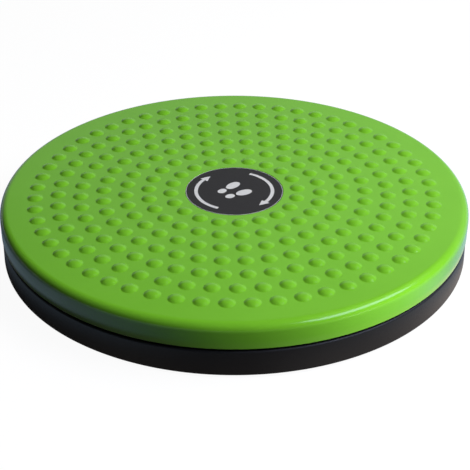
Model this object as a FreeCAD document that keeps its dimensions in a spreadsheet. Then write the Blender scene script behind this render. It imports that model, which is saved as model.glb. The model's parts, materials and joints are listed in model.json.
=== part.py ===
import FreeCAD, Part
import os
import Sketcher

# A waist twisting disc, 250 mm across: someone stands on the upper plate and swings it to and
# fro on the lower one. Both plates are moulded shells, open below, and the upper one carries
# seven rings of massage bumps round a printed disc. Between them lies a thrust bearing: two
# steel races, a plastic cage and its balls. A bolt, with its nut in a well under the printed
# disc, keeps the plates together, and six rubber feet stand the disc on the floor.
# The frame: Z is the turning axis, pointing up, and its zero is the floor. Each bump ring
# starts on +Y. Lengths are in millimetres.

DRIVING_SIZES = [
    # Lower plate
    ("foot_stand", 1.5, "how far the feet hold the lower rim off the floor"),
    ("base_rim_height", 13.4, "outside height of the lower plate"),
    ("base_lean", 0.3, "how far the lower rim leans in from its foot to its top"),
    ("base_wall", 2.6, "thickness of the lower rim"),
    ("base_web", 2.8, "thickness of the lower plate's disc"),
    ("base_top_round", 1.2, "round on the lower plate's upper edge"),
    ("base_foot_round", 0.6, "round on the lower plate's bottom edge"),
    ("base_hub_wall", 7.0, "plastic round the bolt head's pocket"),
    ("base_hub_floor", 5.4, "plastic between the bolt head and the upper face of the hub"),
    ("head_pocket_room", 2.0, "room round the washer in the bolt head's pocket"),
    ("head_cover", 0.9, "how far the bolt head lies inside its pocket"),
    ("base_rib_count", 12, "spokes under the lower plate"),
    ("base_rib_depth", 2.6, "how far the spokes and rings hang down"),
    ("base_rib_thickness", 2.0, "thickness of the spokes and rings"),
    ("dust_lip_gap", 3.4, "room between the upper rim and the ring that keeps dust out"),
    ("dust_lip_thickness", 2.0, "thickness of that ring"),
    ("dust_lip_height", 2.6, "height of that ring"),
    # Rubber feet
    ("foot_count", 6, "rubber feet"),
    ("foot_rim_gap", 9.0, "room between a foot's cup and the lower rim"),
    ("foot_radius", 9.0, "radius of a foot"),
    ("foot_height", 4.0, "height of a foot"),
    ("foot_chamfer", 0.8, "chamfer round a foot's sole"),
    ("foot_seat_depth", 1.5, "how deep a foot sits in its cup"),
    ("foot_seat_margin", 0.2, "room round a foot in its cup"),
    ("foot_boss_wall", 2.2, "wall of the cup"),
    # Upper plate
    ("top_radius", 125.0, "outside of the upper plate"),
    ("rim_gap", 1.4, "running gap between the two rims"),
    ("top_wall", 2.6, "thickness of the standing face"),
    ("skirt_wall", 2.6, "thickness of the upper rim"),
    ("top_edge_round", 4.2, "round between the standing face and the rim"),
    ("skirt_edge_round", 0.6, "round on the rim's bottom edge"),
    ("top_hub_wall", 4.0, "plastic round the nut well"),
    ("top_hub_floor", 2.2, "floor of the nut well"),
    ("well_room", 2.0, "room round the bush's flange in the nut well"),
    ("top_rib_count", 12, "spokes under the standing face"),
    ("top_rib_depth", 4.6, "how far the spokes and the ring hang down"),
    ("top_rib_thickness", 1.8, "thickness of the spokes and the ring"),
    # Massage bumps
    ("bump_radius", 4.0, "radius of a bump where it leaves the face"),
    ("bump_height", 1.4, "height of a bump"),
    ("bump_sink", 1.0, "how deep a bump's root reaches into the face"),
    ("label_to_bumps", 3.8, "flat ring between the printed disc and the bumps"),
    ("bumps_to_edge", 10.3, "flat ring between the bumps and the rounded edge"),
    ("bump_count_1", 20, "bumps in each ring, from the innermost out"),
    ("bump_count_2", 26, ""),
    ("bump_count_3", 32, ""),
    ("bump_count_4", 38, ""),
    ("bump_count_5", 44, ""),
    ("bump_count_6", 49, ""),
    ("bump_count_7", 56, ""),
    # Printed disc
    ("label_radius", 26.2, "radius of the printed disc"),
    ("label_thickness", 0.4, "thickness of the printed disc"),
    ("label_recess", 0.5, "depth of its recess"),
    ("label_margin", 0.2, "room round it"),
    # Thrust bearing
    ("ball_count", 24, "steel balls"),
    ("ball_diameter", 8.0, "diameter of a ball"),
    ("ball_circle_radius", 70.0, "circle that the balls run on"),
    ("ball_clearance", 0.12, "running gap between a ball and its groove"),
    ("race_half_width", 5.5, "half the width of a race"),
    ("race_thickness", 3.0, "thickness of a race"),
    ("race_groove_depth", 1.0, "depth of the ball groove"),
    ("race_sink", 1.0, "how deep the lower race lies in the lower plate"),
    ("race_seat_height", 0.7, "ring that the upper race bears on"),
    ("race_lip_thickness", 2.0, "wall of the two rings that hold the upper race"),
    ("race_lip_grip", 1.6, "how far those rings reach over the race's edge"),
    ("race_margin", 0.15, "room at the edges of a race"),
    ("cage_half_width", 6.5, "half the width of the cage"),
    ("cage_thickness", 2.4, "thickness of the cage"),
    ("cage_pocket_gap", 0.25, "room round a ball in its pocket"),
    # Centre bolt, nut, washers and bush
    ("bolt_radius", 3.0, "M6 shank"),
    ("bolt_tip_gap", 0.4, "room between the bolt's tip and the printed disc"),
    ("bolt_proud", 0.3, "how far the tip stands out of the nut"),
    ("bolt_tip_chamfer", 0.6, "chamfer on the tip"),
    ("bolt_hole_gap", 0.2, "room round the bolt in the lower hub and the washers"),
    ("hex_flats", 10.0, "width of the bolt head and the nut over their flats"),
    ("hex_chamfer", 0.6, "chamfer on their corners"),
    ("head_height", 4.0, "height of the bolt head"),
    ("nut_height", 4.4, "height of the nut's hexagon"),
    ("nut_collar_height", 1.2, "collar that holds the locking ring"),
    ("nut_collar_radius", 4.6, "outside of that collar"),
    ("thread_gap", 0.05, "room between bolt and nut"),
    ("washer_radius", 6.0, "outside of the two flat washers"),
    ("washer_thickness", 1.6, "thickness of the flat washers"),
    ("bush_running_gap", 0.2, "play between the bush's flange and the washer above it"),
    ("bush_flange", 1.2, "thickness of the bush's flange"),
    ("bush_flange_width", 3.0, "how far the flange stands out"),
    ("bush_radius", 5.0, "outside of the bush"),
    ("bush_fit", 0.05, "room between bush and hub"),
    ("bush_bore_gap", 0.08, "running clearance between bush and bolt"),
    ("thrust_gap", 0.3, "play between the upper hub and the thrust washer"),
    ("thrust_washer_thickness", 1.0, "thickness of the thrust washer"),
    ("thrust_washer_inset", 1.0, "how far the thrust washer lies inside the upper hub"),
]

FULL_TURN = 360
MATCH = 1e-4
HORIZONTAL_AXIS = -1
VERTICAL_AXIS = -2
ORIGIN = (-1, 1)


class Size:
    """A length or count: its value, and the expression that ties it to the spreadsheet."""

    def __init__(self, value, text):
        self.value = value
        self.text = text

    def __add__(self, other):
        return Size(self.value + other.value, f"({self.text} + {other.text})")

    def __sub__(self, other):
        return Size(self.value - other.value, f"({self.text} - {other.text})")

    def __mul__(self, factor):
        return Size(self.value * factor, f"({self.text} * {factor})")

    def __truediv__(self, divisor):
        return Size(self.value / divisor, f"({self.text} / {divisor})")


ZERO = Size(0.0, "0")

doc = FreeCAD.newDocument("waist_twisting_disc")
sheet = doc.addObject("Spreadsheet::Sheet", "sizes")


def fill_sheet():
    """Writes the driving sizes into the sheet and returns them by name."""
    sizes = {}
    for row, (alias, value, note) in enumerate(DRIVING_SIZES, 1):
        sheet.set(f"A{row}", alias)
        sheet.set(f"B{row}", str(value))
        sheet.set(f"C{row}", note)
        sheet.setAlias(f"B{row}", alias)
        sizes[alias] = Size(value, f"sizes.{alias}")
    doc.recompute()
    return sizes


SIZE = fill_sheet()


# Helpers for bodies, sketches and features
def new_body(label):
    """An empty body, named for the piece it will be."""
    body = doc.addObject("PartDesign::Body", label)
    body.Label = label
    return body


def origin_feature(body, role):
    """One of the body's own planes or axes."""
    return next(feature for feature in body.Origin.OriginFeatures if feature.Role == role)


def new_sketch(body, name, role):
    """An empty sketch on one of the body's own planes."""
    sketch = body.newObject("Sketcher::SketchObject", name)
    sketch.AttachmentSupport = [(origin_feature(body, role), "")]
    sketch.MapMode = "FlatFace"
    return sketch


def point(place):
    """The sketch point at a pair of sizes, across and up."""
    across, up = place
    return FreeCAD.Vector(across.value, up.value, 0)


def tie_point(sketch, element, end, place):
    """Fixes a sketch point at a pair of sizes, measured from the sketch's origin."""
    ways = (("DistanceX", VERTICAL_AXIS), ("DistanceY", HORIZONTAL_AXIS))
    for size, (kind, axis) in zip(place, ways):
        if size is ZERO:
            sketch.addConstraint(Sketcher.Constraint("PointOnObject", element, end, axis))
            continue
        constraint = Sketcher.Constraint(kind, *ORIGIN, element, end, size.value)
        index = sketch.addConstraint(constraint)
        sketch.setExpression(f"Constraints[{index}]", size.text)


def outline_sketch(body, name, role, corners):
    """A closed outline of straight edges through the corners."""
    sketch = new_sketch(body, name, role)
    following = corners[1:] + corners[:1]
    for start, end in zip(corners, following):
        sketch.addGeometry(Part.LineSegment(point(start), point(end)), False)
    for index in range(len(corners)):
        after = (index + 1) % len(corners)
        sketch.addConstraint(Sketcher.Constraint("Coincident", index, 2, after, 1))
    for index, place in enumerate(corners):
        tie_point(sketch, index, 1, place)
    return sketch


def circle_sketch(body, name, role, centre, radius):
    """A circle, its centre at a pair of sizes."""
    sketch = new_sketch(body, name, role)
    normal = FreeCAD.Vector(0, 0, 1)
    sketch.addGeometry(Part.Circle(point(centre), normal, radius.value), False)
    tie_point(sketch, 0, 3, centre)
    index = sketch.addConstraint(Sketcher.Constraint("Radius", 0, radius.value))
    sketch.setExpression(f"Constraints[{index}]", radius.text)
    return sketch


def add_spindle(sketch, across, low, high):
    """A construction line, upright, for a shape that turns about its own axis."""
    line = Part.LineSegment(point((across, low)), point((across, high)))
    index = sketch.addGeometry(line, True)
    tie_point(sketch, index, 1, (across, low))
    tie_point(sketch, index, 2, (across, high))


def turned(body, sketch, name, axis="V_Axis", kind="PartDesign::Revolution"):
    """Turns a sketch once round an axis of its own."""
    feature = body.newObject(kind, name)
    feature.Profile = sketch
    feature.ReferenceAxis = (sketch, [axis])
    feature.Angle = FULL_TURN
    body.Tip = feature
    return feature


def grooved(body, sketch, name, axis="V_Axis"):
    """Cuts a sketch's full turn out of the body."""
    return turned(body, sketch, name, axis, "PartDesign::Groove")


def rounded(body, name, radius, places, kind="PartDesign::Fillet", size="Radius"):
    """Rounds the circular edges that lie at the given radius and height."""
    doc.recompute()
    base = body.Tip
    names = []
    for index, edge in enumerate(base.Shape.Edges, 1):
        curve = edge.Curve
        if not isinstance(curve, Part.Circle):
            continue
        for across, up in places:
            same_radius = abs(curve.Radius - across.value) < MATCH
            if same_radius and abs(curve.Center.z - up.value) < MATCH:
                names.append(f"Edge{index}")
    if len(names) != len(places):
        raise ValueError(f"{name}: {len(places)} edges wanted, {len(names)} found")
    feature = body.newObject(kind, name)
    feature.Base = (base, names)
    feature.setExpression(size, radius.text)
    body.Tip = feature


def repeated(body, name, originals, count):
    """Repeats features evenly round Z."""
    pattern = body.newObject("PartDesign::PolarPattern", name)
    pattern.Originals = originals
    pattern.Axis = (origin_feature(body, "Z_Axis"), [""])
    pattern.Angle = FULL_TURN
    pattern.setExpression("Occurrences", count.text)
    body.Tip = pattern
    return pattern


def box_outline(inner, outer, low, high):
    """The corners of a rectangle between two radii and two heights."""
    return [(inner, low), (outer, low), (outer, high), (inner, high)]


def turned_body(label, corners):
    """A body that is one outline turned round Z."""
    body = new_body(label)
    sketch = outline_sketch(body, f"{label}_outline", "XZ_Plane", corners)
    turned(body, sketch, f"{label}_turn")
    return body


def spoke_ribs(body, name, corners, thickness, count):
    """Upright ribs, all alike, from a rectangle in the XZ plane."""
    sketch = outline_sketch(body, f"{name}_outline", "XZ_Plane", corners)
    pad = body.newObject("PartDesign::Pad", name)
    pad.Profile = sketch
    pad.Midplane = True
    pad.setExpression("Length", thickness.text)
    repeated(body, f"{name}_pattern", [pad], count)


def place_round_z(piece, radius, height, index, count):
    """Puts a piece on a circle round Z, as one of several spaced evenly from +Y."""
    turn = f"(90 deg + {index} * 360 deg / {count.text})"
    piece.setExpression("Placement.Base.x", f"{radius.text} * cos({turn})")
    piece.setExpression("Placement.Base.y", f"{radius.text} * sin({turn})")
    piece.setExpression("Placement.Base.z", height.text)


# Heights, from the floor up, as the pieces stack
rim_bottom = SIZE["foot_stand"]
web_top = rim_bottom + SIZE["base_rim_height"]
web_bottom = web_top - SIZE["base_web"]
base_rib_bottom = web_bottom - SIZE["base_rib_depth"]
foot_seat = SIZE["foot_height"]
foot_boss_bottom = foot_seat - SIZE["foot_seat_depth"]
lower_race_bottom = web_top - SIZE["race_sink"]
lower_race_top = lower_race_bottom + SIZE["race_thickness"]
ball_radius = SIZE["ball_diameter"] / 2
groove_radius = ball_radius + SIZE["ball_clearance"]
ball_centre = lower_race_top - SIZE["race_groove_depth"] + groove_radius
upper_race_bottom = ball_centre + groove_radius - SIZE["race_groove_depth"]
upper_race_top = upper_race_bottom + SIZE["race_thickness"]
top_underside = upper_race_top + SIZE["race_seat_height"]
top_face = top_underside + SIZE["top_wall"]
skirt_bottom = web_top + SIZE["rim_gap"]
top_rib_bottom = top_underside - SIZE["top_rib_depth"]
race_lip_bottom = upper_race_top - SIZE["race_lip_grip"]

# Heights at the hub, from the printed disc down
label_seat = top_face - SIZE["label_recess"]
bolt_tip = label_seat - SIZE["bolt_tip_gap"]
nut_top = bolt_tip - SIZE["bolt_proud"]
nut_shoulder = nut_top - SIZE["nut_collar_height"]
nut_bottom = nut_shoulder - SIZE["nut_height"]
nut_washer_bottom = nut_bottom - SIZE["washer_thickness"]
bush_top = nut_washer_bottom - SIZE["bush_running_gap"]
well_floor = bush_top - SIZE["bush_flange"]
top_hub_bottom = well_floor - SIZE["top_hub_floor"]
thrust_washer_top = top_hub_bottom - SIZE["thrust_gap"]
base_hub_top = thrust_washer_top - SIZE["thrust_washer_thickness"]
head_seat = base_hub_top - SIZE["base_hub_floor"]
head_top = head_seat - SIZE["washer_thickness"]
head_bottom = head_top - SIZE["head_height"]
base_hub_bottom = head_bottom - SIZE["head_cover"]

# Radii that follow from the sizes
base_radius = SIZE["top_radius"]
base_top_radius = base_radius - SIZE["base_lean"]
base_inside = base_radius - SIZE["base_wall"]
base_top_inside = base_top_radius - SIZE["base_wall"]
skirt_inside = SIZE["top_radius"] - SIZE["skirt_wall"]
race_inside = SIZE["ball_circle_radius"] - SIZE["race_half_width"]
race_outside = SIZE["ball_circle_radius"] + SIZE["race_half_width"]
seat_inside = race_inside - SIZE["race_margin"]
seat_outside = race_outside + SIZE["race_margin"]
lip_inside = seat_inside - SIZE["race_lip_thickness"]
lip_outside = seat_outside + SIZE["race_lip_thickness"]
bolt_hole = SIZE["bolt_radius"] + SIZE["bolt_hole_gap"]
head_pocket = SIZE["washer_radius"] + SIZE["head_pocket_room"]
base_hub = head_pocket + SIZE["base_hub_wall"]
bush_hole = SIZE["bush_radius"] + SIZE["bush_fit"]
bush_flange_edge = SIZE["bush_radius"] + SIZE["bush_flange_width"]
nut_well = bush_flange_edge + SIZE["well_room"]
top_hub = nut_well + SIZE["top_hub_wall"]
dust_lip_outside = skirt_inside - SIZE["dust_lip_gap"]
dust_lip_inside = dust_lip_outside - SIZE["dust_lip_thickness"]
label_hole = SIZE["label_radius"] + SIZE["label_margin"]
foot_cup = SIZE["foot_radius"] + SIZE["foot_seat_margin"]
foot_boss = foot_cup + SIZE["foot_boss_wall"]
foot_circle = base_inside - SIZE["foot_rim_gap"] - foot_boss

# The bumps' rings, from the one nearest the printed disc to the one nearest the edge
bump_counts = [size for name, size in SIZE.items() if name.startswith("bump_count_")]
first_ring = label_hole + SIZE["label_to_bumps"] + SIZE["bump_radius"]
edge_start = SIZE["top_radius"] - SIZE["top_edge_round"]
last_ring = edge_start - SIZE["bumps_to_edge"] - SIZE["bump_radius"]
ring_pitch = (last_ring - first_ring) / (len(bump_counts) - 1)


# The lower plate: rim, disc, hub, channel for the race, spokes, rings and cups for the feet
def ring_rib_corners(middle, thickness, root, tip):
    """The part of an outline that runs down, along and up a ring rib."""
    inner = middle - thickness / 2
    outer = middle + thickness / 2
    return [(inner, root), (inner, tip), (outer, tip), (outer, root)]


def make_base_plate():
    body = new_body("base_plate")
    rib = SIZE["base_rib_thickness"]
    inner_middle = (base_hub + SIZE["ball_circle_radius"]) / 2
    inner_ring = ring_rib_corners(inner_middle, rib, web_bottom, base_rib_bottom)
    race_middle = SIZE["ball_circle_radius"]
    race_ring = ring_rib_corners(race_middle, rib, web_bottom, base_rib_bottom)
    lip_top = web_top + SIZE["dust_lip_height"]
    corners = [
        (bolt_hole, head_seat),
        (head_pocket, head_seat),
        (head_pocket, base_hub_bottom),
        (base_hub, base_hub_bottom),
        (base_hub, web_bottom),
        *inner_ring,
        *race_ring,
        (base_top_inside, web_bottom),
        (base_inside, rim_bottom),
        (base_radius, rim_bottom),
        (base_top_radius, web_top),
        (dust_lip_outside, web_top),
        (dust_lip_outside, lip_top),
        (dust_lip_inside, lip_top),
        (dust_lip_inside, web_top),
        (seat_outside, web_top),
        (seat_outside, lower_race_bottom),
        (seat_inside, lower_race_bottom),
        (seat_inside, web_top),
        (base_hub, web_top),
        (base_hub, base_hub_top),
        (bolt_hole, base_hub_top),
    ]
    sketch = outline_sketch(body, "base_outline", "XZ_Plane", corners)
    turned(body, sketch, "base_turn")
    rounded(body, "base_top_edge", SIZE["base_top_round"], [(base_top_radius, web_top)])
    rounded(body, "base_bottom_edge", SIZE["base_foot_round"], [(base_radius, rim_bottom)])

    hub_middle = (head_pocket + base_hub) / 2
    wall_middle = (base_top_inside + base_top_radius) / 2
    web_middle = (web_bottom + web_top) / 2
    spoke = box_outline(hub_middle, wall_middle, base_rib_bottom, web_middle)
    spoke_ribs(body, "base_spokes", spoke, rib, SIZE["base_rib_count"])

    circle = foot_circle
    boss_outline = box_outline(circle, circle + foot_boss, foot_boss_bottom, web_middle)
    boss_sketch = outline_sketch(body, "foot_boss_outline", "YZ_Plane", boss_outline)
    add_spindle(boss_sketch, circle, foot_boss_bottom, web_middle)
    boss = turned(body, boss_sketch, "foot_boss", "Axis0")
    repeated(body, "foot_bosses", [boss], SIZE["foot_count"])
    cup_outline = box_outline(circle, circle + foot_cup, ZERO, foot_seat)
    cup_sketch = outline_sketch(body, "foot_cup_outline", "YZ_Plane", cup_outline)
    add_spindle(cup_sketch, circle, ZERO, foot_seat)
    cup = grooved(body, cup_sketch, "foot_cup", "Axis0")
    repeated(body, "foot_cups", [cup], SIZE["foot_count"])
    return body


# The upper plate: standing face, rim, hub with the nut well, lips for the race, spokes, bumps
def bump_profile_sketch(body, name, ring_radius):
    """Half of a bump: an arc from its crown down to the face, and its root in the face."""
    crown = top_face + SIZE["bump_height"]
    root = top_face - SIZE["bump_sink"]
    edge = ring_radius + SIZE["bump_radius"]
    rise = SIZE["bump_height"].value
    half_width = SIZE["bump_radius"].value
    arc_radius = (half_width**2 + rise**2) / (2 * rise)
    centre = FreeCAD.Vector(ring_radius.value, crown.value - arc_radius, 0)
    foot = FreeCAD.Vector(half_width, arc_radius - rise, 0)
    quarter = FreeCAD.Vector(0, 1, 0)
    flat = FreeCAD.Vector(1, 0, 0)
    circle = Part.Circle(centre, FreeCAD.Vector(0, 0, 1), arc_radius)
    sketch = new_sketch(body, name, "YZ_Plane")
    arc = Part.Arc(circle, foot.getAngle(flat), quarter.getAngle(flat))
    sketch.addGeometry(arc, False)
    path = [(ring_radius, crown), (ring_radius, root), (edge, root), (edge, top_face)]
    for start, end in zip(path, path[1:]):
        sketch.addGeometry(Part.LineSegment(point(start), point(end)), False)
    joins = [(0, 2, 1, 1), (1, 2, 2, 1), (2, 2, 3, 1), (3, 2, 0, 1)]
    for join in joins:
        sketch.addConstraint(Sketcher.Constraint("Coincident", *join))
    sketch.addConstraint(Sketcher.Constraint("PointOnObject", 0, 3, 1))
    for index, place in enumerate(path[:3], 1):
        tie_point(sketch, index, 1, place)
    tie_point(sketch, 3, 2, path[3])
    add_spindle(sketch, ring_radius, root, crown)
    return sketch


def add_bumps(body):
    """Seven rings of bumps, each starting on +Y."""
    for ring, count in enumerate(bump_counts):
        ring_radius = first_ring + ring_pitch * ring
        sketch = bump_profile_sketch(body, f"bump_outline_{ring + 1}", ring_radius)
        bump = turned(body, sketch, f"bump_{ring + 1}", "Axis0")
        bump.Refine = False
        pattern = repeated(body, f"bump_ring_{ring + 1}", [bump], count)
        pattern.Refine = False


def make_top_plate():
    body = new_body("top_plate")
    rib = SIZE["top_rib_thickness"]
    ring_middle = (lip_outside + skirt_inside) / 2
    corners = [
        (bush_hole, top_hub_bottom),
        (top_hub, top_hub_bottom),
        (top_hub, top_underside),
        (lip_inside, top_underside),
        (lip_inside, race_lip_bottom),
        (seat_inside, race_lip_bottom),
        (seat_inside, upper_race_top),
        (seat_outside, upper_race_top),
        (seat_outside, race_lip_bottom),
        (lip_outside, race_lip_bottom),
        (lip_outside, top_underside),
        *ring_rib_corners(ring_middle, rib, top_underside, top_rib_bottom),
        (skirt_inside, top_underside),
        (skirt_inside, skirt_bottom),
        (SIZE["top_radius"], skirt_bottom),
        (SIZE["top_radius"], top_face),
        (label_hole, top_face),
        (label_hole, label_seat),
        (nut_well, label_seat),
        (nut_well, well_floor),
        (bush_hole, well_floor),
    ]
    sketch = outline_sketch(body, "top_outline", "XZ_Plane", corners)
    turned(body, sketch, "top_turn")
    rounded(body, "top_outer_edge", SIZE["top_edge_round"], [(SIZE["top_radius"], top_face)])
    inner_round = SIZE["top_edge_round"] - SIZE["skirt_wall"]
    rounded(body, "top_inner_edge", inner_round, [(skirt_inside, top_underside)])
    rounded(body, "skirt_edge", SIZE["skirt_edge_round"], [(SIZE["top_radius"], skirt_bottom)])

    face_middle = (top_underside + top_face) / 2
    hub_middle = (nut_well + top_hub) / 2
    inner_lip_middle = (lip_inside + seat_inside) / 2
    outer_lip_middle = (seat_outside + lip_outside) / 2
    skirt_middle = (skirt_inside + SIZE["top_radius"]) / 2
    rib_foot = (label_seat + top_underside) / 2
    inner = box_outline(hub_middle, inner_lip_middle, top_rib_bottom, rib_foot)
    spoke_ribs(body, "inner_spokes", inner, rib, SIZE["top_rib_count"])
    outer = box_outline(outer_lip_middle, skirt_middle, top_rib_bottom, face_middle)
    spoke_ribs(body, "outer_spokes", outer, rib, SIZE["top_rib_count"])
    add_bumps(body)
    return body


def make_label():
    top = label_seat + SIZE["label_thickness"]
    return turned_body("centre_label", box_outline(ZERO, SIZE["label_radius"], label_seat, top))


# The thrust bearing
def make_race(label, bottom, top):
    body = turned_body(label, box_outline(race_inside, race_outside, bottom, top))
    centre = (SIZE["ball_circle_radius"], ball_centre)
    sketch = circle_sketch(body, f"{label}_track", "XZ_Plane", centre, groove_radius)
    grooved(body, sketch, f"{label}_groove")
    return body


def make_cage():
    inner = SIZE["ball_circle_radius"] - SIZE["cage_half_width"]
    outer = SIZE["ball_circle_radius"] + SIZE["cage_half_width"]
    low = ball_centre - SIZE["cage_thickness"] / 2
    high = ball_centre + SIZE["cage_thickness"] / 2
    body = turned_body("ball_cage", box_outline(inner, outer, low, high))
    pocket_radius = ball_radius + SIZE["cage_pocket_gap"]
    centre = (ZERO, SIZE["ball_circle_radius"])
    sketch = circle_sketch(body, "pocket_outline", "XY_Plane", centre, pocket_radius)
    pocket = body.newObject("PartDesign::Pocket", "ball_pocket")
    pocket.Profile = sketch
    pocket.Type = "ThroughAll"
    pocket.Midplane = True
    repeated(body, "ball_pockets", [pocket], SIZE["ball_count"])
    return body


def make_balls():
    balls = []
    for index in range(SIZE["ball_count"].value):
        ball = doc.addObject("Part::Sphere", f"ball_{index + 1:02d}")
        ball.Label = f"ball_{index + 1:02d}"
        ball.setExpression("Radius", ball_radius.text)
        place_round_z(ball, SIZE["ball_circle_radius"], ball_centre, index, SIZE["ball_count"])
        balls.append(ball)
    return balls


# The centre bolt and what it holds
def hexagon(name, low, height):
    """A hexagonal prism, as wide over its flats as the bolt's head."""
    prism = doc.addObject("Part::Prism", name)
    prism.Polygon = 6
    prism.setExpression("Circumradius", f"{SIZE['hex_flats'].text} / 2 / cos(30 deg)")
    prism.setExpression("Height", height.text)
    prism.setExpression("Placement.Base.z", low.text)
    return prism


def overlap_of(name, first, second):
    """What two shapes share."""
    shared = doc.addObject("Part::Common", name)
    shared.Base = first
    shared.Tool = second
    return shared


def fused(label, first, second):
    """Two shapes as one piece."""
    piece = doc.addObject("Part::Fuse", label)
    piece.Label = label
    piece.Base = first
    piece.Tool = second
    return piece


def make_bolt():
    corner = SIZE["hex_flats"] / 2 + SIZE["hex_chamfer"]
    head_edge = head_bottom + SIZE["hex_chamfer"]
    blank_outline = [
        (ZERO, head_bottom),
        (SIZE["hex_flats"] / 2, head_bottom),
        (corner, head_edge),
        (corner, head_top),
        (ZERO, head_top),
    ]
    blank = turned_body("bolt_head_blank", blank_outline)
    prism = hexagon("bolt_head_prism", head_bottom, SIZE["head_height"])
    head = overlap_of("bolt_head", prism, blank)
    head_middle = (head_bottom + head_top) / 2
    shank_outline = [
        (ZERO, head_middle),
        (SIZE["bolt_radius"], head_middle),
        (SIZE["bolt_radius"], bolt_tip - SIZE["bolt_tip_chamfer"]),
        (SIZE["bolt_radius"] - SIZE["bolt_tip_chamfer"], bolt_tip),
        (ZERO, bolt_tip),
    ]
    shank = turned_body("bolt_shank", shank_outline)
    return fused("centre_bolt", head, shank)


def make_nut():
    bore = SIZE["bolt_radius"] + SIZE["thread_gap"]
    corner = SIZE["hex_flats"] / 2 + SIZE["hex_chamfer"]
    blank_outline = [
        (bore, nut_bottom),
        (SIZE["hex_flats"] / 2, nut_bottom),
        (corner, nut_bottom + SIZE["hex_chamfer"]),
        (corner, nut_shoulder - SIZE["hex_chamfer"]),
        (SIZE["hex_flats"] / 2, nut_shoulder),
        (bore, nut_shoulder),
    ]
    blank = turned_body("nut_blank", blank_outline)
    prism = hexagon("nut_prism", nut_bottom, SIZE["nut_height"])
    hex_part = overlap_of("nut_hexagon", prism, blank)
    shoulder_middle = (nut_bottom + nut_shoulder) / 2
    collar_outline = box_outline(bore, SIZE["nut_collar_radius"], shoulder_middle, nut_top)
    collar = turned_body("nut_collar", collar_outline)
    return fused("lock_nut", hex_part, collar)


def make_washer(label, radius, bottom, thickness):
    return turned_body(label, box_outline(bolt_hole, radius, bottom, bottom + thickness))


def make_bush():
    bore = SIZE["bolt_radius"] + SIZE["bush_bore_gap"]
    outline = [
        (bore, top_hub_bottom),
        (SIZE["bush_radius"], top_hub_bottom),
        (SIZE["bush_radius"], well_floor),
        (bush_flange_edge, well_floor),
        (bush_flange_edge, bush_top),
        (bore, bush_top),
    ]
    return turned_body("hub_bush", outline)


# The rubber feet
def make_feet():
    feet = []
    outline = [
        (ZERO, ZERO),
        (SIZE["foot_radius"] - SIZE["foot_chamfer"], ZERO),
        (SIZE["foot_radius"], SIZE["foot_chamfer"]),
        (SIZE["foot_radius"], SIZE["foot_height"]),
        (ZERO, SIZE["foot_height"]),
    ]
    for index in range(SIZE["foot_count"].value):
        foot = turned_body(f"rubber_foot_{index + 1}", outline)
        place_round_z(foot, foot_circle, ZERO, index, SIZE["foot_count"])
        feet.append(foot)
    return feet


pieces = [
    make_base_plate(),
    make_top_plate(),
    make_label(),
    make_race("lower_race", lower_race_bottom, lower_race_top),
    make_race("upper_race", upper_race_bottom, upper_race_top),
    make_cage(),
    *make_balls(),
    make_bolt(),
    make_nut(),
    make_washer("nut_washer", SIZE["washer_radius"], nut_washer_bottom, SIZE["washer_thickness"]),
    make_washer("bolt_washer", SIZE["washer_radius"], head_top, SIZE["washer_thickness"]),
    make_washer(
        "thrust_washer",
        top_hub - SIZE["thrust_washer_inset"],
        base_hub_top,
        SIZE["thrust_washer_thickness"],
    ),
    make_bush(),
    *make_feet(),
]
doc.recompute()

for item in doc.Objects:
    if "Invalid" in item.State or "Error" in item.State:
        raise ValueError(f"{item.Label} failed: {item.State}")

os.makedirs("parts", exist_ok=True)
for piece in pieces:
    shape = piece.Shape
    if shape.isNull() or not shape.isValid() or not shape.Solids:
        raise ValueError(f"{piece.Label} has no valid solid")
    shape.exportStep(f"parts/{piece.Label}.step")
    box = shape.BoundBox
    span = f"{box.XLength:.1f} x {box.YLength:.1f} x {box.ZLength:.1f}"
    print(f"{piece.Label}: {len(shape.Solids)} solid, {shape.Volume:.0f} mm3, {span} mm")
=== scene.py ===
import json
import math

import bpy
import numpy as np
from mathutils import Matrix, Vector
from mathutils.geometry import delaunay_2d_cdt

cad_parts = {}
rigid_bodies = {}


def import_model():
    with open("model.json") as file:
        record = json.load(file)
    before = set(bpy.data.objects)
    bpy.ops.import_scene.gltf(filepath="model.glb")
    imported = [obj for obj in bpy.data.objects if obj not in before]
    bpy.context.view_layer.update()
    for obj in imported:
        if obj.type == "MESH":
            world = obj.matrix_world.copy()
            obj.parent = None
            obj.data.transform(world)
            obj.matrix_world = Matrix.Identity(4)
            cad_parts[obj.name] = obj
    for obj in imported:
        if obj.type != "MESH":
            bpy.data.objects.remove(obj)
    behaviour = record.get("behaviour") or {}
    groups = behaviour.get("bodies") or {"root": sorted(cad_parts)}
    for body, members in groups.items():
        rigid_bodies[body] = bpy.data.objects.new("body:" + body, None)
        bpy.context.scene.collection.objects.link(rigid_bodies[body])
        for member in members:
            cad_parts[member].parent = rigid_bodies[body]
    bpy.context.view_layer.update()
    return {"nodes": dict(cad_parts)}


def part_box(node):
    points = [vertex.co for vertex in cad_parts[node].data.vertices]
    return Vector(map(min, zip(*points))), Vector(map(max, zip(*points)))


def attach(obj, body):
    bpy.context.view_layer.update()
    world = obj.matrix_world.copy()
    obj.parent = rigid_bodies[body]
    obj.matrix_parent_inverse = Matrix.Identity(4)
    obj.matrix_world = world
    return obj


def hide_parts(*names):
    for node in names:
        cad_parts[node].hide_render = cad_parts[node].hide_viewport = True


# A waist twisting disc, 250 mm across, from the floor up: a black lower plate on rubber feet, a
# ball bearing, and a green standing plate with seven rings of massage bumps and a printed disc.
# The pieces' sizes are in millimetres, and their meshes are turned to metres as they are made.
for leftover in list(bpy.data.objects):
    bpy.data.objects.remove(leftover)

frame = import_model()

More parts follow.
